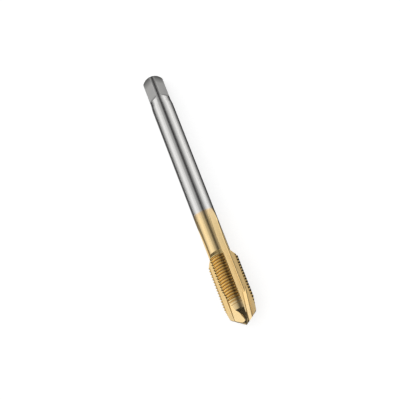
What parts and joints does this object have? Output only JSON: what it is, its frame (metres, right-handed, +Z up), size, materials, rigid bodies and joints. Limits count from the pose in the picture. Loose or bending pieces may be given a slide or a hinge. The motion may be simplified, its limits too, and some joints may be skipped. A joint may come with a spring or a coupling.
{
  "type": "thread tap",
  "caption": "Spiral-point machine tap with straight flutes, fine thread, reduced shank, square drive and a gold-coloured hard coat on its cutting end.",
  "frame": {"origin": "centre of the tap's footprint, on the surface that it lies on", "axes": "+X towards the point, +Z up, with one land straight up; the tap's axis climbs 0.79 degrees towards the point, as it lies on two lands and the back end of the shank"},
  "size_m": [0.0944, 0.01, 0.0095],
  "materials": {
    "tool_steel": "ground high-speed steel, with a gold-coloured titanium nitride coat from the flute ends to the point"
  },
  "bodies": {
    "root": {"tap": "tool_steel"}
  },
  "joints": []
}
